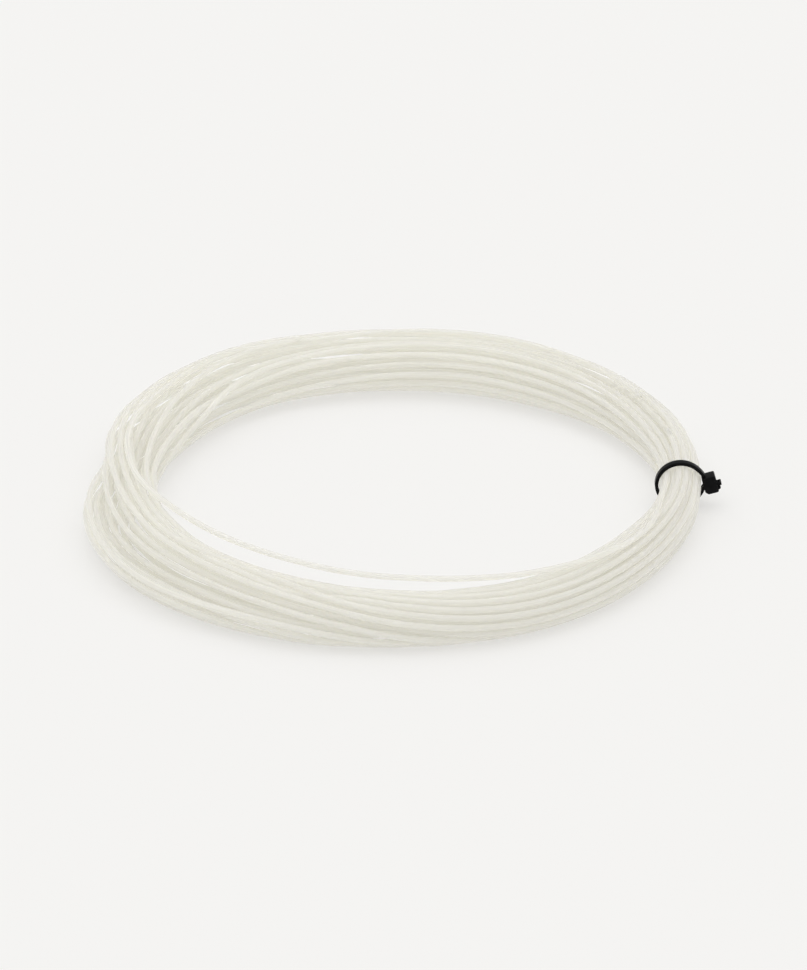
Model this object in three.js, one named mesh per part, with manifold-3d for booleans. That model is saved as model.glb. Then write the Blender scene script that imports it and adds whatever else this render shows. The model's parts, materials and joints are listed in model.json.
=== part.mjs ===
// A set of racket string: one length of nylon monofilament wound into a loose ring of turns,
// held at one place by a small self-locking cable tie.
// Millimetres, +Z up. The ring lies flat on z = 0, with the tie on its +X side.
import * as THREE from 'three';
import { mergeVertices } from 'three/addons/utils/BufferGeometryUtils.js';
import Module from 'manifold-3d';

// ---------------------------------------------------------------- driving dimensions
const STRING_DIAMETER = 1.3;

// The bundle of turns, every 30 degrees from +X towards +Y: distance of its middle from the
// ring's centre, half its width and half its height. The tie squeezes it round at the first.
const RING_STATIONS = [
  [63.7, 4.6, 4.6],
  [65.1, 7.2, 5.6],
  [64.5, 9.9, 6.1],
  [63.4, 10.4, 6.3],
  [63.9, 10.5, 6.6],
  [61.8, 9.5, 6.7],
  [61.1, 7.6, 5.8],
  [61.3, 8.9, 5.8],
  [59.2, 7.8, 5.6],
  [58.1, 7.0, 5.1],
  [59.3, 6.7, 4.9],
  [60.6, 6.0, 5.0],
];
const RING_STEPS = 84;
const RING_SIDES = 16;
const FLATTENED = 0.08; // share of the half height pressed flat on the table
const TIE_LIFT_SPREAD = 0.3; // radians over which the tie's strap lifts the bundle off the table

// The one turn that stands clear of the rest, towards the hole and higher than the bundle:
// [degrees round the ring, distance from its centre, height].
const LOOSE_TURN_POINTS = [
  [172, 61.0, 12.8],
  [180, 59.4, 12.7],
  [188, 57.8, 12.5],
  [195, 56.0, 12.4],
  [202, 54.3, 12.3],
  [211, 52.7, 12.2],
  [220, 51.5, 12.0],
  [232, 50.6, 11.8],
  [245, 50.2, 11.5],
  [259, 51.0, 11.2],
  [274, 52.2, 11.0],
  [287, 54.2, 10.8],
  [297, 56.4, 10.7],
  [307, 58.3, 10.6],
  [316, 60.4, 10.6],
];
const LOOSE_TURN_STEPS = 48;
const STRING_SIDES = 8;

// The cable tie. Its loop lies round the bundle, in the plane square to the string.
const STRAP_WIDTH = 1.7;
const STRAP_THICKNESS = 0.75;
const LOOP_GAP = 0.25;
const TEETH = 54;
const TOOTH_DEPTH = 0.18;
const HEAD_DEPTH = 2.8;
const HEAD_HEIGHT = 4.2;
const HEAD_WIDTH = 3.0;
const HEAD_CHAMFER = 0.3;
const HEAD_STANDOFF = 1.25;
const HEAD_RISE = 0.16;
const HEAD_TILT = THREE.MathUtils.degToRad(17);
const SLOT_MIDDLE = -0.45;
const ROOT_GAP = 0.02;
const CLEARANCE = 0.1;
const POCKET_DEPTH = 1.05;
const TAIL_BEYOND_HEAD = 0.95;
const LIP_LENGTH = 0.4; // of the ledge under the slot's mouth, which guides the strap out
const LIP_FOOT = -1.7;

// Where the strap isn't round the bundle: [degrees round the loop, how far out of its circle].
const ROOT_LEAD = 0.34;
const ROOT_BEND = [[35, 0.17], [48, 0.06], [61, 0.01]];
const SLOT_BEND = [338, 0.05];
const SLOT_LEAD = 0.27;
const SLOT_LEAD_DROP = 0.04;
const CIRCLE_START = 76;
const CIRCLE_STEP = 16;
const CIRCLE_POINTS = 17;

// The pawl, along the head's slot from its hinge to its nose.
const PAWL_WIDTH = 1.5;
const PAWL_THICKNESS = 0.5;
const PAWL_START = -1.25;
const PAWL_HINGE = 0.5;
const PAWL_NECK = -0.5;
const PAWL_RELIEF = 0.07;
const PAWL_FIRST_TOOTH = -0.05;
const PAWL_PITCH = 0.4;
const PAWL_TOOTH_SLOPE = 0.15;
const PAWL_NOSE = 0.1;

// ---------------------------------------------------------------- sizes that follow
const [TIE_RADIUS, BUNDLE_RADIUS] = RING_STATIONS[0];
const LOOP_INNER = BUNDLE_RADIUS + LOOP_GAP;
const LOOP_MIDDLE = LOOP_INNER + STRAP_THICKNESS / 2;
const LOOP_OUTER = LOOP_INNER + STRAP_THICKNESS;
const HALF_STRAP = STRAP_THICKNESS / 2;
const HALF_HEAD = new THREE.Vector2(HEAD_DEPTH / 2, HEAD_HEIGHT / 2);
const STRAP_FACE = SLOT_MIDDLE + HALF_STRAP;
const POCKET_TOP = STRAP_FACE + POCKET_DEPTH;

// ---------------------------------------------------------------- materials
const stringMaterial = new THREE.MeshStandardMaterial({
  color: 0xe6e5d9,
  roughness: 0.3,
  metalness: 0,
});
const tieMaterial = new THREE.MeshStandardMaterial({
  color: 0x0b0c0d,
  roughness: 0.4,
  metalness: 0,
});

// ---------------------------------------------------------------- helpers
const wasm = await Module();
wasm.setup();

function closedGeometry(geometry) {
  geometry.deleteAttribute('normal');
  geometry.deleteAttribute('uv');
  return mergeVertices(geometry, 1e-4);
}

function toSolid(geometry) {
  const merged = closedGeometry(geometry);
  const mesh = new wasm.Mesh({
    numProp: 3,
    vertProperties: new Float32Array(merged.attributes.position.array),
    triVerts: new Uint32Array(merged.index.array),
  });
  return new wasm.Manifold(mesh);
}

function toGeometry(solid) {
  const mesh = solid.getMesh();
  const geometry = new THREE.BufferGeometry();
  const position = new THREE.BufferAttribute(new Float32Array(mesh.vertProperties), 3);
  geometry.setAttribute('position', position);
  geometry.setIndex(new THREE.BufferAttribute(new Uint32Array(mesh.triVerts), 1));
  return geometry;
}

function namedMesh(name, geometry, material) {
  const mesh = new THREE.Mesh(geometry, material);
  mesh.name = name;
  return mesh;
}

// An outline in the plane of the tie's loop (x outward, z up), given a width along Y.
function plate(outline, width) {
  const shape = new THREE.Shape(outline);
  const geometry = new THREE.ExtrudeGeometry(shape, { depth: width, bevelEnabled: false });
  geometry.translate(0, 0, -width / 2);
  geometry.rotateX(Math.PI / 2);
  return geometry;
}

// ---------------------------------------------------------------- the wound ring
const stationCurve = new THREE.CatmullRomCurve3(
  RING_STATIONS.map((row) => new THREE.Vector3(...row)),
  true,
  'catmullrom',
);

function ringGeometry() {
  const geometry = new THREE.TorusGeometry(1, 0.25, RING_SIDES, RING_STEPS);
  const { position, uv } = geometry.attributes;
  const tieLift = LOOP_OUTER - BUNDLE_RADIUS * (1 - FLATTENED);
  for (let i = 0; i < position.count; i += 1) {
    const turn = uv.getX(i) % 1;
    const angle = turn * 2 * Math.PI;
    const around = uv.getY(i) * 2 * Math.PI;
    const station = stationCurve.getPoint(turn);
    const fromTie = Math.min(angle, 2 * Math.PI - angle) / TIE_LIFT_SPREAD;
    const middle = station.z * (1 - FLATTENED) + tieLift * Math.exp(-(fromTie ** 2));
    const out = station.x + station.y * Math.cos(around);
    const height = Math.max(0, middle + station.z * Math.sin(around));
    position.setXYZ(i, out * Math.cos(angle), out * Math.sin(angle), height);
  }
  return closedGeometry(geometry);
}

// ---------------------------------------------------------------- the loose turn
function looseTurnGeometry() {
  const path = new THREE.CatmullRomCurve3(LOOSE_TURN_POINTS.map(([degrees, radius, height]) => {
    const angle = THREE.MathUtils.degToRad(degrees);
    return new THREE.Vector3(radius * Math.cos(angle), radius * Math.sin(angle), height);
  }));
  const corners = [];
  for (let i = 0; i < STRING_SIDES; i += 1) {
    const corner = new THREE.Vector2(STRING_DIAMETER / 2, 0);
    corners.push(corner.rotateAround(new THREE.Vector2(), (i / STRING_SIDES) * 2 * Math.PI));
  }
  return closedGeometry(new THREE.ExtrudeGeometry(new THREE.Shape(corners), {
    steps: LOOSE_TURN_STEPS,
    extrudePath: path,
    bevelEnabled: false,
  }));
}

// ---------------------------------------------------------------- the cable tie
// The head has axes of its own: p points out of the slot's mouth, q on round the loop.
function fromHead(p, q) {
  const centre = new THREE.Vector2(LOOP_OUTER + HEAD_STANDOFF, HEAD_RISE);
  return new THREE.Vector2(p, q).rotateAround(new THREE.Vector2(), HEAD_TILT).add(centre);
}

function onLoop(degrees, out) {
  const angle = THREE.MathUtils.degToRad(degrees);
  return new THREE.Vector2(LOOP_MIDDLE + out, 0).rotateAround(new THREE.Vector2(), angle);
}

// The strap's middle line: from its root on the head's upper side, once round the bundle,
// then a bend that turns it out into the slot, and the cut tail.
const strapLine = new THREE.SplineCurve([
  fromHead(HALF_STRAP - HALF_HEAD.x, HALF_HEAD.y + ROOT_GAP),
  fromHead(HALF_STRAP - HALF_HEAD.x, HALF_HEAD.y + ROOT_LEAD),
  ...ROOT_BEND.map(([degrees, out]) => onLoop(degrees, out)),
  ...Array.from({ length: CIRCLE_POINTS }, (_, i) => onLoop(CIRCLE_START + CIRCLE_STEP * i, 0)),
  onLoop(...SLOT_BEND),
  fromHead(-HALF_HEAD.x - SLOT_LEAD, SLOT_MIDDLE - SLOT_LEAD_DROP),
  fromHead(-HALF_HEAD.x + SLOT_LEAD, SLOT_MIDDLE),
  fromHead(0, SLOT_MIDDLE),
  fromHead(HALF_HEAD.x + TAIL_BEYOND_HEAD, SLOT_MIDDLE),
]);

// Both long sides of the strap, a distance away from its middle line. The inner side, which
// faces the bundle and then the pawl, is cut into ratchet teeth.
function strapOutline(halfThickness, toothDepth) {
  const steps = 2 * TEETH;
  const inner = [];
  const outer = [];
  for (let i = 0; i <= steps; i += 1) {
    const middle = strapLine.getPointAt(i / steps);
    const along = strapLine.getTangentAt(i / steps);
    const toInside = new THREE.Vector2(-along.y, along.x);
    const cut = i % 2 === 1 ? toothDepth : 0;
    inner.push(middle.clone().addScaledVector(toInside, halfThickness - cut));
    outer.unshift(middle.clone().addScaledVector(toInside, -halfThickness));
  }
  return [...inner, ...outer];
}

function strapGeometry() {
  return closedGeometry(plate(strapOutline(HALF_STRAP, TOOTH_DEPTH), STRAP_WIDTH));
}

// A block with chamfered corners, with a slot right through it for the strap and, beside the
// slot, a pocket for the pawl.
function headGeometry() {
  const { x, y } = HALF_HEAD;
  const c = HEAD_CHAMFER;
  const block = toSolid(plate([
    fromHead(-x, -y + c),
    fromHead(-x + c, -y),
    fromHead(x - c, -y),
    fromHead(x, -y + c),
    fromHead(x + LIP_LENGTH, LIP_FOOT),
    fromHead(x + LIP_LENGTH, SLOT_MIDDLE),
    fromHead(x, SLOT_MIDDLE),
    fromHead(x, y - c),
    fromHead(x - c, y),
    fromHead(-x, y),
  ], HEAD_WIDTH));
  const slotLow = SLOT_MIDDLE - HALF_STRAP - CLEARANCE;
  const slotWidth = STRAP_WIDTH + 2 * CLEARANCE;
  const slot = toSolid(plate([
    fromHead(-2 * x, slotLow),
    fromHead(2 * x, slotLow),
    fromHead(2 * x, POCKET_TOP),
    fromHead(-2 * x, POCKET_TOP),
  ], slotWidth));
  const strapRoom = toSolid(plate(strapOutline(HALF_STRAP + CLEARANCE, 0), slotWidth));
  return toGeometry(block.subtract(slot).subtract(strapRoom));
}

// The pawl: a toothed tongue on a thin hinge at the slot's inner end, lying beside the strap.
function pawlGeometry() {
  const face = STRAP_FACE + CLEARANCE;
  const notch = face + TOOTH_DEPTH;
  const relief = notch + PAWL_RELIEF;
  const back = face + PAWL_THICKNESS;
  const hingeTop = POCKET_TOP - CLEARANCE;
  const tips = [0, 1, 2].map((i) => PAWL_FIRST_TOOTH + PAWL_PITCH * i);
  const lastTip = tips.pop();
  return closedGeometry(plate([
    fromHead(PAWL_START, relief),
    fromHead(PAWL_NECK, relief),
    ...tips.flatMap((tip) => [fromHead(tip, face), fromHead(tip + PAWL_TOOTH_SLOPE, notch)]),
    fromHead(lastTip, face),
    fromHead(lastTip + PAWL_NOSE, back - TOOTH_DEPTH),
    fromHead(PAWL_NECK, back),
    fromHead(PAWL_START + PAWL_HINGE, hingeTop),
    fromHead(PAWL_START, hingeTop),
  ], PAWL_WIDTH));
}

// ---------------------------------------------------------------- the whole part
const tie = new THREE.Group();
tie.add(namedMesh('tie_strap', strapGeometry(), tieMaterial));
tie.add(namedMesh('tie_head', headGeometry(), tieMaterial));
tie.add(namedMesh('tie_pawl', pawlGeometry(), tieMaterial));
tie.position.set(TIE_RADIUS, 0, LOOP_OUTER);

const set = new THREE.Group();
set.add(namedMesh('string_coil', ringGeometry(), stringMaterial));
set.add(namedMesh('loose_turn', looseTurnGeometry(), stringMaterial));
set.add(tie);

// The origin is under the middle of the whole part's box.
const middle = new THREE.Box3().setFromObject(set).getCenter(new THREE.Vector3());
set.position.set(-middle.x, -middle.y, 0);

export default set;
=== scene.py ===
import json
import math

import bmesh
import bpy
import numpy as np
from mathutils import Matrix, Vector


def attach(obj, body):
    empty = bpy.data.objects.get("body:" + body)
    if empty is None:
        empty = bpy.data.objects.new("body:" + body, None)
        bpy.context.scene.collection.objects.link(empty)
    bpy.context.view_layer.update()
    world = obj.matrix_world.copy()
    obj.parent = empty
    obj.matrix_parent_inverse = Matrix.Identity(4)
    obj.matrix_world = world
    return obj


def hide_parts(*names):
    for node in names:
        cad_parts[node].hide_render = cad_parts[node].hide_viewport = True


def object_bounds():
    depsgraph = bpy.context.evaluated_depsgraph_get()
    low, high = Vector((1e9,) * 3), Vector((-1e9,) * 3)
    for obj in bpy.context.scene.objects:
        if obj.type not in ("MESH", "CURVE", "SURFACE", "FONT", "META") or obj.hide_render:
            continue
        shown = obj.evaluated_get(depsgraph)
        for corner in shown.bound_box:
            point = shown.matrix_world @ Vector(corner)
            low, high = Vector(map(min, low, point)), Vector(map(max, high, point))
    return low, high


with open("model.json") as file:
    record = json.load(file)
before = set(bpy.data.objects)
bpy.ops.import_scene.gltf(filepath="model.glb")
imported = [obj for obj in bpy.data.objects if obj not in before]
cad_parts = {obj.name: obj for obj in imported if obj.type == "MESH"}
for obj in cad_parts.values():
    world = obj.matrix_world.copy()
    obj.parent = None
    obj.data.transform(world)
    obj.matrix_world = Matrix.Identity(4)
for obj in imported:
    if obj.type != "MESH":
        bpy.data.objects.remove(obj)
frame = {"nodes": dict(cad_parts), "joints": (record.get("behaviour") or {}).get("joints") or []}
cad_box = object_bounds()

swivel = next(joint for joint in frame["joints"] if joint["name"] == "tie_swivel")
loop_centre = Vector(swivel["pos_m"])

# ---------------------------------------------------------------- the part's own sizes, in mm
MM = 0.001
STRING_DIAMETER = 1.3
HALF = STRING_DIAMETER / 2
TURNS = 31
LOOP_RADIUS = loop_centre.z / MM  # outside radius of the tie's loop, which rests on the table

# The bundle of turns every 30 degrees from +X towards +Y: distance of its middle from the
# ring's centre, half its width and half its height.
RING_STATIONS = np.array([
    (63.7, 4.6, 4.6), (65.1, 7.2, 5.6), (64.5, 9.9, 6.1), (63.4, 10.4, 6.3),
    (63.9, 10.5, 6.6), (61.8, 9.5, 6.7), (61.1, 7.6, 5.8), (61.3, 8.9, 5.8),
    (59.2, 7.8, 5.6), (58.1, 7.0, 5.1), (59.3, 6.7, 4.9), (60.6, 6.0, 5.0),
])
FLATTENED = 0.08  # share of its half height by which the table flattens the bundle
TIE_LIFT_SPREAD = 0.3  # how far from the tie, in radians, the loop still lifts the bundle

# The loose turn: degrees round the ring, distance from its centre and height. From 172 to 316
# degrees it is clear of the bundle, and before and after that it lies on top of it.
LOOSE_TURN = np.array([
    (118, 68.0, 11.0), (126, 67.2, 11.8), (133, 66.1, 12.2), (140, 64.7, 12.5),
    (147, 63.6, 12.6), (155, 62.7, 12.7), (162, 62.2, 12.8),
    (172, 61.0, 12.8), (180, 59.4, 12.7), (188, 57.8, 12.5), (195, 56.0, 12.4),
    (202, 54.3, 12.3), (211, 52.7, 12.2), (220, 51.5, 12.0), (232, 50.6, 11.8),
    (245, 50.2, 11.5), (259, 51.0, 11.2), (274, 52.2, 11.0), (287, 54.2, 10.8),
    (297, 56.4, 10.7), (307, 58.3, 10.6), (316, 60.4, 10.6),
    (330, 61.6, 10.1),
])

ring_centre = Vector((loop_centre.x - RING_STATIONS[0, 0] * MM, loop_centre.y, 0.0))

# ---------------------------------------------------------------- camera
CAMERA_ELEVATION = math.radians(28)
CAMERA_DISTANCE = 0.70
CAMERA_OFFSET = (1.84, 4.6)  # how far right and up of the ring's centre it aims, in mm
PICTURE_WIDTH = 807
PIXELS_PER_MM = 4.45


def make_camera():
    data = bpy.data.cameras.new("camera")
    data.sensor_fit = "HORIZONTAL"
    data.sensor_width = 36.0
    data.lens = PIXELS_PER_MM * CAMERA_DISTANCE / MM / PICTURE_WIDTH * data.sensor_width
    data.clip_start = 0.01
    data.clip_end = 50
    camera = bpy.data.objects.new("camera", data)
    forward = Vector((0, math.cos(CAMERA_ELEVATION), -math.sin(CAMERA_ELEVATION)))
    right = Vector((1, 0, 0))
    up = right.cross(forward)
    aim = ring_centre + (right * CAMERA_OFFSET[0] + up * CAMERA_OFFSET[1]) * MM
    camera.location = aim - forward * CAMERA_DISTANCE
    camera.rotation_euler = (math.pi / 2 - CAMERA_ELEVATION, 0, 0)
    bpy.context.scene.collection.objects.link(camera)
    bpy.context.scene.camera = camera


make_camera()

# ---------------------------------------------------------------- the string's route
SEED = 11
STEPS = 96  # points in each turn
STARTS_AT = 30  # degrees from the tie, where both ends of the string lie
POINTS_LEFT_OUT = 3  # between its last point and its first
CLOSEST = STRING_DIAMETER * 1.01  # nearer than this, the middles of two turns are pushed apart
LIKED_AT_TIE = 1.42  # how far apart the turns would like to lie
LIKED_ELSEWHERE = 2.5
PUSH = 0.45  # share of an overlap that each step takes away, and of a wish for more room
NUDGE = 0.02
SETTLING_STEPS = 420
WANDER = (0.6, 0.4)  # across and up
WANDER_WAVES = (400, 120)  # its longest and shortest wave, in route points

MOVES_OVER = (0.15, 0.85)  # in which part of a turn the string moves over to its next slot

# How far the pattern of turns is twisted about the bundle's middle, round the ring, in degrees.
TWIST = np.array([
    (0, 0), (60, -30), (85, -30), (150, 20), (195, 75), (240, 50), (290, -30), (360, 0),
])

# On the left the turns part into two groups: place across and up, and spread across and up.
UPPER_GROUP = (-3.4, 7.8, 6.5, 4.5)
LOWER_GROUP = (3.8, 3.4, 6.5, 3.2)
PARTING = np.array([-0.6, 0.8])  # the direction in which they part
PARTED_AT = 195  # degrees round the ring
GROUP_MIDDLE = 0.42  # how far out each group's middle is in the bundle before they part

# Degrees round the ring where a thing sets in, is complete, starts to end and has gone.
PARTED_BETWEEN = (166, 196, 235, 295)
LOOSE_TURN_HELD = (108, 136, 318, 345)

SET_FREE = (0.15, 1.0)  # radians from the tie where its grip on the pattern ends, from and to
PULL = 0.004  # how strongly each step draws the turns to their places, and how much more at the tie
PULL_MORE_AT_TIE = 0.02
STIFFNESS = 0.9


def catmull_rom(a, b, c, d, f):
    """The smooth curve from b to c, at the shares f of the way."""
    return 0.5 * (2 * b + (c - a) * f + (2 * a - 5 * b + 4 * c - d) * f**2
                  + (3 * b - 3 * c + d - a) * f**3)


def periodic(rows, turn):
    """A smooth closed curve through the rows, at shares of a turn."""
    place = (turn % 1.0) * len(rows)
    first = np.floor(place).astype(int)
    f = (place - first)[:, None]
    a, b, c, d = (rows[(first + k) % len(rows)] for k in (-1, 0, 1, 2))
    return catmull_rom(a, b, c, d, f)


def ease(x, low, high):
    """0 up to low, 1 from high on, and smooth in between."""
    t = np.clip((x - low) / (high - low), 0, 1)
    return t * t * (3 - 2 * t)


def packed_slots():
    """Places for the turns across the bundle, packed as close as round strings go."""
    points = [(i + j / 2, j * math.sqrt(3) / 2) for i in range(-4, 5) for j in range(-4, 5)]
    points = np.array([p for p in points if math.hypot(*p) < 2.7])
    return points / np.hypot(*points.T).max()


def winding_order(rng, slots):
    """The order the string takes the slots in. It begins at the top of the hole's side, with the
    loose turn, and each next turn lies beside the one before."""
    towards = np.abs(np.arctan2(slots[:, 1], slots[:, 0]) - math.radians(115))
    towards[np.hypot(*slots.T) < 0.85] = 9
    walk = [int(i) for i in np.argsort(towards)[:2]]
    left = [i for i in range(len(slots)) if i not in walk]
    while left:
        distance = np.hypot(*(slots[left] - slots[walk[-1]]).T)
        walk.append(left.pop(int(np.argmin(distance + rng.uniform(0, 0.5, len(left))))))
    return walk


def drift(rng, size):
    """A slow random wave along the whole string."""
    samples = TURNS * STEPS
    spectrum = np.zeros(samples // 2 + 1, complex)
    waves = np.arange(len(spectrum))
    low, high = (samples / wave for wave in WANDER_WAVES)
    keep = (waves >= low) & (waves <= high)
    spectrum[keep] = rng.normal(size=keep.sum()) + 1j * rng.normal(size=keep.sum())
    wave = np.fft.irfft(spectrum, samples)
    return wave / wave.std() * size


def between(degrees, sets_in, complete, ending, gone):
    return ease(degrees, sets_in, complete) * (1 - ease(degrees, ending, gone))


def hump(x, middle, width):
    """A smooth hump of height 1."""
    return np.exp(-(((x - middle) / width) ** 2))


def twist_round(degrees):
    """How far the pattern of turns is twisted there, in radians, smoothed round the ring."""
    twist = np.radians(np.interp(degrees, TWIST[:, 0], TWIST[:, 1]))
    kernel = np.hanning(17)
    kernel /= kernel.sum()
    return np.convolve(np.tile(twist, 3), kernel, "same")[STEPS:2 * STEPS]


def wanted_places(rng, degrees, from_tie, reach, centre, parted):
    """Where each turn would like to lie across the bundle, all the way round."""
    slots = packed_slots()
    walk = winding_order(rng, slots)
    start, end = slots[walk], slots[np.roll(walk, -1)]
    mix = ease(degrees / 360, *MOVES_OVER)[None, :, None]
    unit = start[:, None] * (1 - mix) + end[:, None] * mix
    c, s = np.cos(twist_round(degrees)), np.sin(twist_round(degrees))
    unit = np.stack([unit[..., 0] * c - unit[..., 1] * s, unit[..., 0] * s + unit[..., 1] * c], -1)
    target = unit * reach * (1.1 + 0.1 * ease(from_tie, 0.05, 0.5)[:, None]) + centre
    is_upper = unit[:, round(STEPS * PARTED_AT / 360)] @ PARTING > 0
    within = unit - GROUP_MIDDLE * PARTING * np.where(is_upper, 1.0, -1.0)[:, None, None]
    group = np.where(is_upper[:, None], UPPER_GROUP, LOWER_GROUP)[:, None]
    grouped = group[..., :2] + within * group[..., 2:]
    parted = parted[None, :, None]
    return target * (1 - parted) + grouped * parted


def straightened(place):
    """One step of bending stiffness along the whole string."""
    flat = place.reshape(-1, 2)
    two = np.roll(flat, 2, 0) + np.roll(flat, -2, 0)
    one = np.roll(flat, 1, 0) + np.roll(flat, -1, 0)
    return (flat - STIFFNESS * (6 * flat - 4 * one + two) / 16).reshape(place.shape)


def pushed_apart(across, liked):
    """One step of keeping the turns out of each other. across is by place round the ring."""
    pairs = ~np.eye(TURNS, dtype=bool)[None]
    gap = across[:, :, None] - across[:, None, :]
    far = np.hypot(gap[..., 0], gap[..., 1]) + 1e-9
    short = np.where(pairs, np.clip(CLOSEST - far, 0, None), 0)
    near = np.where(pairs, np.clip(liked - far, 0, None), 0)
    push = ((PUSH * short + NUDGE * near) / far)[..., None] * gap
    return across + push.sum(2)


def kept_inside(across, centre, reach, edge, outermost):
    """One step of holding the turns inside the bundle's outline and above the table. The turn
    with the loose stretch is free to leave the outline."""
    inside = (across - centre[:, None]) / reach[:, None]
    size = np.hypot(inside[..., 0], inside[..., 1])[..., None]
    edge = edge[:, None, None]
    limit = np.where(size > edge, edge / np.maximum(size, 1e-9), 1)
    limit = 1 + (limit - 1) * 0.5
    limit[:, 0] = 1
    across = centre[:, None] + (across - centre[:, None]) * limit
    across[..., 0] = np.minimum(across[..., 0], outermost[:, None])
    across[..., 1] = np.maximum(across[..., 1], HALF)
    return across


def settled_turns():
    """Points of every turn, [turn, place round the ring, xyz], in mm from the ring's centre."""
    rng = np.random.default_rng(SEED)
    angle = np.arange(STEPS) / STEPS * 2 * math.pi
    degrees = np.degrees(angle)
    radius, wide, high = periodic(RING_STATIONS, degrees / 360).T
    from_tie = np.minimum(angle, 2 * math.pi - angle)
    tie_lift = LOOP_RADIUS - RING_STATIONS[0, 2] * (1 - FLATTENED)
    middle = high * (1 - FLATTENED) + tie_lift * hump(from_tie, 0, TIE_LIFT_SPREAD)
    shift = 0.06 * hump(from_tie, 0, 0.35) + 0.3 * hump(degrees, 350, 8)
    centre = np.stack([shift, middle], -1)
    reach = np.stack([wide - HALF, high - HALF], -1)
    parted = between(degrees, *PARTED_BETWEEN)
    edge = 1.03 + 0.10 * parted
    outermost = wide + 2 - HALF - 5.0 * hump(degrees, 173, 9)

    free = ease(from_tie, *SET_FREE)
    target = wanted_places(rng, degrees, from_tie, reach, centre, parted)
    wander = np.stack([drift(rng, size) for size in WANDER], -1)
    target = target + wander.reshape(TURNS, STEPS, 2) * free[None, :, None]
    loose = np.stack([np.interp(degrees, LOOSE_TURN[:, 0], LOOSE_TURN[:, k]) for k in (1, 2)], -1)
    loose[:, 0] -= radius
    hold = between(degrees, *LOOSE_TURN_HELD)[:, None]
    pull = (PULL_MORE_AT_TIE * (1 - free) + PULL)[None, :, None]
    liked = LIKED_AT_TIE + (LIKED_ELSEWHERE - LIKED_AT_TIE) * free[:, None, None]

    place = target.copy()
    for _ in range(SETTLING_STEPS):
        place[0] = place[0] * (1 - hold) + loose * hold
        place = straightened(place)
        place = place + pull * (target - place)
        across = pushed_apart(place.transpose(1, 0, 2), liked)
        across = kept_inside(across, centre, reach, edge, outermost)
        place = across.transpose(1, 0, 2)
    out = radius[None] + place[..., 0]
    return np.stack([out * np.cos(angle), out * np.sin(angle), place[..., 1]], -1)


def string_route():
    """The whole string as one line of points, in metres. It begins and ends in the bundle, just
    past the tie."""
    points = settled_turns().reshape(-1, 3) * MM + np.array(ring_centre)
    first = round(STEPS * STARTS_AT / 360)
    return np.roll(points, -first, 0)[:-POINTS_LEFT_OUT]


def travelled_along(points):
    """The length along the points, up to each one."""
    return np.concatenate([[0], np.cumsum(np.linalg.norm(np.diff(points, axis=0), axis=1))])


def tube(points, radius, sides):
    """A round tube along the points: its mesh, with a map of length along it and place round it."""
    along = np.gradient(points, axis=0)
    along /= np.linalg.norm(along, axis=1)[:, None]
    side = np.cross(along, (0, 0, 1))
    side /= np.linalg.norm(side, axis=1)[:, None]
    up = np.cross(side, along)
    around = (np.arange(sides) / sides * 2 * math.pi)[:, None]
    ring = side[:, None] * np.cos(around) + up[:, None] * np.sin(around)
    verts = points[:, None] + ring * radius
    index = np.arange(len(points) * sides).reshape(-1, sides)
    beside = np.roll(index, -1, axis=1)
    quads = np.stack([index[:-1], beside[:-1], beside[1:], index[1:]], -1).reshape(-1, 4)
    faces = quads.tolist() + [index[0][::-1].tolist(), index[-1].tolist()]
    mesh = bpy.data.meshes.new("string")
    mesh.from_pydata(verts.reshape(-1, 3).tolist(), [], faces)
    mesh.update()
    mesh.shade_smooth()
    travelled = travelled_along(points)
    first = np.repeat(np.arange(len(points) - 1), sides)
    corner = np.tile(np.arange(sides), len(points) - 1)
    u = np.stack([first, first, first + 1, first + 1], -1)
    v = np.stack([corner, corner + 1, corner + 1, corner], -1) / sides
    uv = np.stack([travelled[u], v], -1).reshape(-1, 2)
    uv = np.vstack([uv, np.zeros((2 * sides, 2))])
    layer = mesh.uv_layers.new(name="along")
    layer.data.foreach_set("uv", uv.astype(np.float32).ravel())
    return mesh


def make_string():
    points = string_route()
    string = bpy.data.objects.new("string", tube(points, HALF * MM, 16))
    bpy.context.scene.collection.objects.link(string)
    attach(string, "coil")
    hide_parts("string_coil", "loose_turn")
    return string


string = make_string()

# ---------------------------------------------------------------- the cable tie
# Its plane is square to the string: x outward from the middle of its loop, z up, in mm.
STRAP_WIDTH = 1.7
STRAP_THICKNESS = 0.75
HALF_STRAP = STRAP_THICKNESS / 2
LOOP_MIDDLE = LOOP_RADIUS - HALF_STRAP
TEETH = 54
TOOTH_PLACES = (0, 0.25, 0.5, 0.78, 0.86, 0.94)  # shares of a tooth: it rises slowly, then drops
TOOTH_CUTS = (0.2, 0.14, 0.08, 0.03, 0.05, 0.18)  # how deep the channel is there
HEAD_DEPTH = 2.8
HEAD_HEIGHT = 4.2
HEAD_WIDTH = 3.0
HEAD_CENTRE = (LOOP_RADIUS + 1.25, 0.16)
HEAD_TILT = math.radians(17)
SLOT_MIDDLE = -0.45
SLOT_LOW = SLOT_MIDDLE - HALF_STRAP - 0.1
POCKET_TOP = SLOT_MIDDLE + HALF_STRAP + 1.05
TAIL_BEYOND_HEAD = 0.95
ROOT_DEPTH = 0.25  # how far the strap's root runs on into the head

# The head's outside: place along the slot, and how far its foot and its top are drawn in there.
HEAD_ENDS = [
    (-1.62, 0.75, 0.16), (-1.56, 0.6, 0.06), (-1.2, 0.22, 0), (-0.95, 0.04, 0), (1.05, 0, 0),
    (1.3, 0.1, 0.08), (1.4, 0.28, 0.24),
]
# The ledge under the slot's mouth: place past the head's middle, foot, and how far it is drawn in.
LEDGE_ENDS = [(1.1, -1.78, 0), (1.7, -1.62, 0), (1.92, -1.5, 0.04), (1.98, -1.38, 0.12)]


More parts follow.
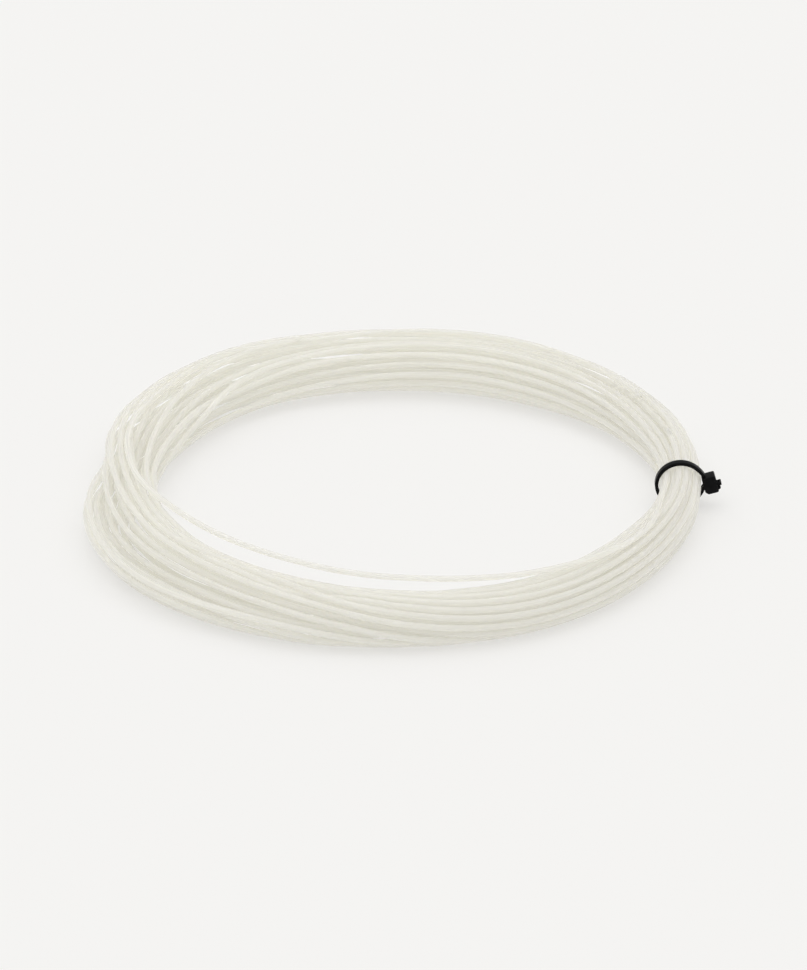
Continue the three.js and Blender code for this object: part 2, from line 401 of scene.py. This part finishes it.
def from_head(p, q):
    """A place p along the head's slot and q up, in the tie's plane."""
    c, s = math.cos(HEAD_TILT), math.sin(HEAD_TILT)
    return (p * c - q * s + HEAD_CENTRE[0], p * s + q * c + HEAD_CENTRE[1])


def on_loop(degrees, out=0.0):
    """A place on the middle line of the strap's loop, or a little outside it."""
    angle = math.radians(degrees)
    return ((LOOP_MIDDLE + out) * math.cos(angle), (LOOP_MIDDLE + out) * math.sin(angle))


def strap_line():
    """The strap's middle line: many points close together along it."""
    half = HEAD_DEPTH / 2
    root = [from_head(HALF_STRAP - half, HEAD_HEIGHT / 2 + up) for up in (-ROOT_DEPTH, 0.34)]
    bend = [on_loop(35, 0.17), on_loop(48, 0.06), on_loop(61, 0.01)]
    loop = [on_loop(76 + 16 * i) for i in range(17)]
    into_slot = [on_loop(338, 0.05), from_head(-half - 0.27, SLOT_MIDDLE - 0.04)]
    in_slot = [from_head(p, SLOT_MIDDLE) for p in (0.27 - half, 0, half + TAIL_BEYOND_HEAD)]
    knots = [*root, *bend, *loop, *into_slot, *in_slot]
    knots = np.array([knots[0], *knots, knots[-1]])
    f = (np.arange(40) / 40)[:, None]
    runs = [catmull_rom(*four, f) for four in zip(knots, knots[1:], knots[2:], knots[3:])]
    return np.vstack([*runs, knots[-1]])


def strap_section(floor):
    """Half of the strap's section, from the middle of its outer side to the middle of its
    toothed channel: (across, towards the inside)."""
    half = STRAP_WIDTH / 2
    return [
        (0.35, -HALF_STRAP), (half - 0.15, -HALF_STRAP), (half - 0.05, -HALF_STRAP + 0.05),
        (half, -HALF_STRAP + 0.16), (half, HALF_STRAP - 0.1), (half - 0.03, HALF_STRAP - 0.03),
        (half - 0.1, HALF_STRAP), (half - 0.24, HALF_STRAP), (half - 0.28, floor), (0.25, floor),
    ]


def make_strap():
    """The strap, toothed on its inside all the way from the root to the cut tail."""
    line = strap_line()
    travelled = travelled_along(line)
    teeth = np.arange(TEETH)[:, None] + np.array([TOOTH_PLACES])
    places = np.append(teeth.ravel(), TEETH) / TEETH * travelled[-1]
    cuts = np.append(np.tile(TOOTH_CUTS, TEETH), TOOTH_CUTS[0])
    middle = np.stack([np.interp(places, travelled, line[:, k]) for k in (0, 1)], -1)
    along = np.gradient(middle, axis=0)
    along /= np.linalg.norm(along, axis=1)[:, None]
    rings = []
    for (x, z), (ax, az), cut in zip(middle, along, cuts):
        right = strap_section(HALF_STRAP - cut)
        section = right + [(-across, inside) for across, inside in reversed(right)]
        rings.append([(x - az * inside, across, z + ax * inside) for across, inside in section])
    index = np.arange(len(rings) * len(rings[0])).reshape(len(rings), -1)
    beside = np.roll(index, -1, axis=1)
    faces = np.stack([index[:-1], index[1:], beside[1:], beside[:-1]], -1).reshape(-1, 4).tolist()
    faces += [index[0].tolist(), index[-1][::-1].tolist()]
    return tie_piece("strap", np.array(rings).reshape(-1, 3), faces, "tie_strap")


def tie_piece(name, points, faces, node):
    """A mesh from points in the tie's own plane (x outward, y along the string, z up), in mm."""
    mesh = bpy.data.meshes.new(name)
    mesh.from_pydata((points * MM + np.array(loop_centre)).tolist(), [], faces)
    mesh.update()
    shape = bmesh.new()
    shape.from_mesh(mesh)
    bmesh.ops.recalc_face_normals(shape, faces=shape.faces)
    shape.to_mesh(mesh)
    shape.free()
    mesh.shade_smooth()
    mesh.set_sharp_from_angle(angle=math.radians(38))
    piece = bpy.data.objects.new(name, mesh)
    bpy.context.scene.collection.objects.link(piece)
    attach(piece, "tie")
    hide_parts(node)
    return piece


def rounded_ring(p, half_width, low, high, corner):
    """A rounded rectangle across the head, a distance p along its slot."""
    ring = []
    for side, end, start in ((1, high, 0), (-1, high, 90), (-1, low, 180), (1, low, 270)):
        for step in range(4):
            angle = math.radians(start + 30 * step)
            across = side * (half_width - corner) + corner * math.cos(angle)
            up = end - corner * (1 if end == high else -1) + corner * math.sin(angle)
            x, z = from_head(p, up)
            ring.append((x, across, z))
    return ring


def lofted(rings, closed):
    """Faces of a loft through the rings: joined end to end, or capped."""
    index = np.arange(len(rings) * len(rings[0])).reshape(len(rings), -1)
    first, last = (index, np.roll(index, -1, axis=0)) if closed else (index[:-1], index[1:])
    beside = [np.roll(part, -1, axis=1) for part in (first, last)]
    faces = np.stack([first, beside[0], beside[1], last], -1).reshape(-1, 4).tolist()
    if not closed:
        faces += [index[0][::-1].tolist(), index[-1].tolist()]
    return faces


def make_head():
    """A block with softened edges, its slot and pocket right through it, and the ledge under
    the slot's mouth."""
    half, high = HEAD_DEPTH / 2, HEAD_HEIGHT / 2
    block = []
    for p, foot, top in HEAD_ENDS:
        block.append(rounded_ring(p, HEAD_WIDTH / 2 - top * 0.6, foot - high, high - top, 0.28))
    for p, flare in ((half, 0.1), (half - 0.15, 0), (0.15 - half, 0), (HEAD_ENDS[0][0], 0.3)):
        slot_half_width = STRAP_WIDTH / 2 + 0.1 + flare / 3
        slot_top = POCKET_TOP + flare / 3
        block.append(rounded_ring(p, slot_half_width, SLOT_LOW - flare, slot_top, 0.08))
    ledge = []
    for p, foot, inset in LEDGE_ENDS:
        ledge.append(rounded_ring(p, 1.05 - inset, foot, SLOT_LOW - inset - 0.02, 0.12))
    points = np.array(block + ledge).reshape(-1, 3)
    ledge_from = len(block) * len(block[0])
    faces = lofted(block, True)
    faces += [[i + ledge_from for i in face] for face in lofted(ledge, False)]
    return tie_piece("head", points, faces, "tie_head")


strap = make_strap()
head = make_head()

# ---------------------------------------------------------------- materials
STRING_COLOR = (0.58, 0.574, 0.526)
STRING_COLOR_WARM = (0.595, 0.577, 0.508)
STRING_ROUGHNESS = (0.24, 0.34)
STRING_MARKS = 0.000003  # how deep the marks along it are
STRING_PAINTED_GLOW = (0.152, 0.22)  # painted glow: emission that stands in for light passing through the string, lower at the table and higher at the top as painted top lighting
TIE_COLOR = (0.003, 0.003, 0.0035)
TIE_COLOR_PALE = (0.006, 0.006, 0.0065)
TIE_SHINE = 0.06
TIE_GRAIN = 0.00004


def new_material(name, base_color, **values):
    """A Principled material. The values are named after the shader's sockets."""
    material = bpy.data.materials.new(name)
    material.use_nodes = True
    shader = material.node_tree.nodes["Principled BSDF"]
    shader.inputs["Base Color"].default_value = (*base_color, 1)
    for key, value in values.items():
        shader.inputs[key.replace("_", " ")].default_value = value
    return material, material.node_tree, shader


def add_node(tree, kind, **values):
    node = tree.nodes.new(kind)
    for key, value in values.items():
        if key in node.inputs:
            node.inputs[key].default_value = value
        else:
            setattr(node, key, value)
    return node


def spread(tree, value, start, end, low, high):
    """The value, spread from its start and end over low to high."""
    node = add_node(tree, "ShaderNodeMapRange")
    for name, number in (("From Min", start), ("From Max", end), ("To Min", low), ("To Max", high)):
        node.inputs[name].default_value = number
    tree.links.new(value, node.inputs["Value"])
    return node.outputs["Result"]


def noise_of(tree, space, scale, detail, low, high):
    """A noise texture, spread over low to high."""
    texture = add_node(tree, "ShaderNodeTexNoise", Scale=scale, Detail=detail)
    tree.links.new(space, texture.inputs["Vector"])
    return spread(tree, texture.outputs["Fac"], 0.3, 0.7, low, high)


def bump_from(tree, shader, space, scale, detail, height):
    """Fine noise in the surface."""
    texture = add_node(tree, "ShaderNodeTexNoise", Scale=scale, Detail=detail)
    tree.links.new(space, texture.inputs["Vector"])
    bump = add_node(tree, "ShaderNodeBump", Strength=0.5, Distance=height)
    tree.links.new(texture.outputs["Fac"], bump.inputs["Height"])
    tree.links.new(bump.outputs["Normal"], shader.inputs["Normal"])


def mixed(tree, shader, amount, first, second):
    """A base colour between the first and the second."""
    mix = add_node(tree, "ShaderNodeMix", data_type="RGBA")
    mix.inputs[6].default_value = (*first, 1)
    mix.inputs[7].default_value = (*second, 1)
    tree.links.new(amount, mix.inputs[0])
    tree.links.new(mix.outputs[2], shader.inputs["Base Color"])


def string_nylon():
    """Cloudy nylon. Its tint drifts slowly along the string, and the drawn surface is almost smooth,
    with faint marks that run along it. It has a painted glow: a steady emission that stands in for
    light passing through the string, made brighter towards the top of the coil as painted top lighting."""
    material, tree, shader = new_material(
        "string_nylon", STRING_COLOR, Roughness=0.25, IOR=1.53, Alpha=0.68,
        Emission_Color=(1, 0.98, 0.92, 1), Subsurface_Weight=1.0,
        Subsurface_Radius=(1.0, 1.0, 0.8), Subsurface_Scale=0.012)
    along = add_node(tree, "ShaderNodeUVMap", uv_map="along").outputs["UV"]
    drift_of_tint = noise_of(tree, along, 9, 2, 0, 1)
    mixed(tree, shader, drift_of_tint, STRING_COLOR, STRING_COLOR_WARM)
    stretched = add_node(tree, "ShaderNodeMapping")
    stretched.inputs["Scale"].default_value = (40, 14, 1)
    tree.links.new(along, stretched.inputs["Vector"])
    rough = noise_of(tree, stretched.outputs["Vector"], 1, 3, *STRING_ROUGHNESS)
    tree.links.new(rough, shader.inputs["Roughness"])
    bump_from(tree, shader, stretched.outputs["Vector"], 1.6, 3, STRING_MARKS)
    # Painted light: emission strength rises with height, so the top of the coil is painted lighter and
    # its foot darker, as if lit from above.
    split = add_node(tree, "ShaderNodeSeparateXYZ")
    tree.links.new(add_node(tree, "ShaderNodeTexCoord").outputs["Object"], split.inputs[0])
    painted_glow = spread(tree, split.outputs["Z"], 0, cad_box[1][2], *STRING_PAINTED_GLOW)
    tree.links.new(painted_glow, shader.inputs["Emission Strength"])
    return material


def tie_nylon():
    """Black moulded nylon: fine-grained, a little shinier where the mould was polished."""
    material, tree, shader = new_material(
        "tie_nylon", TIE_COLOR, Roughness=0.36, IOR=1.53, Specular_IOR_Level=TIE_SHINE)
    space = add_node(tree, "ShaderNodeTexCoord").outputs["Object"]
    mixed(tree, shader, noise_of(tree, space, 900, 3, 0, 1), TIE_COLOR, TIE_COLOR_PALE)
    tree.links.new(noise_of(tree, space, 500, 2, 0.28, 0.46), shader.inputs["Roughness"])
    bump_from(tree, shader, space, 3500, 3, TIE_GRAIN)
    return material


string.data.materials.append(string_nylon())
black = tie_nylon()
for piece in (strap, head):
    piece.data.materials.append(black)
pawl = frame["nodes"]["tie_pawl"]
pawl.data.materials.clear()
pawl.data.materials.append(black)

# ---------------------------------------------------------------- floor and light
FLOOR_HALF = 8.0
FLOOR_COLOR = (0.40, 0.397, 0.39)
FLOOR_GLOW = 0.515
FLOOR_GLOW_COLOR = (1, 0.992, 0.975, 1)


def make_floor():
    mesh = bpy.data.meshes.new("floor")
    corners = [(-1, -1), (1, -1), (1, 1), (-1, 1)]
    mesh.from_pydata([(x * FLOOR_HALF, y * FLOOR_HALF, 0) for x, y in corners], [], [(0, 1, 2, 3)])
    floor = bpy.data.objects.new("floor", mesh)
    bpy.context.scene.collection.objects.link(floor)
    material = new_material(
        "floor_paper", FLOOR_COLOR, Roughness=0.9, Specular_IOR_Level=0.1,
        Emission_Color=FLOOR_GLOW_COLOR, Emission_Strength=FLOOR_GLOW)[0]
    mesh.materials.append(material)


HORIZON = 0.20
ZENITH = 1.45
KEY_SHARE = 0.012
KEY_FROM = (127, 31)  # degrees from +X towards +Y, and up
KEY_ANGLE = 16


def make_light():
    world = bpy.data.worlds.new("studio")
    bpy.context.scene.world = world
    world.use_nodes = True
    tree = world.node_tree
    direction = add_node(tree, "ShaderNodeTexCoord")
    split = add_node(tree, "ShaderNodeSeparateXYZ")
    above = add_node(tree, "ShaderNodeMath", operation="MAXIMUM")
    squared = add_node(tree, "ShaderNodeMath", operation="POWER")
    squared.inputs[1].default_value = 2
    strength = add_node(tree, "ShaderNodeMath", operation="MULTIPLY_ADD")
    strength.inputs[1].default_value = ZENITH
    strength.inputs[2].default_value = HORIZON
    tree.links.new(direction.outputs["Generated"], split.inputs[0])
    tree.links.new(split.outputs["Z"], above.inputs[0])
    tree.links.new(above.outputs[0], squared.inputs[0])
    tree.links.new(squared.outputs[0], strength.inputs[0])
    tree.links.new(strength.outputs[0], tree.nodes["Background"].inputs["Strength"])
    tree.nodes["Background"].inputs["Color"].default_value = (1, 1, 1, 1)
    azimuth, up = map(math.radians, KEY_FROM)
    towards = Vector((math.cos(azimuth) * math.cos(up), math.sin(azimuth) * math.cos(up), math.sin(up)))
    data = bpy.data.lights.new("key", "SUN")
    data.angle = math.radians(KEY_ANGLE)
    data.energy = KEY_SHARE * math.pi / math.sin(up)
    key = bpy.data.objects.new("key", data)
    key.rotation_euler = towards.to_track_quat("Z", "Y").to_euler()
    bpy.context.scene.collection.objects.link(key)
    bpy.context.scene.view_settings.view_transform = "Standard"


make_floor()
make_light()
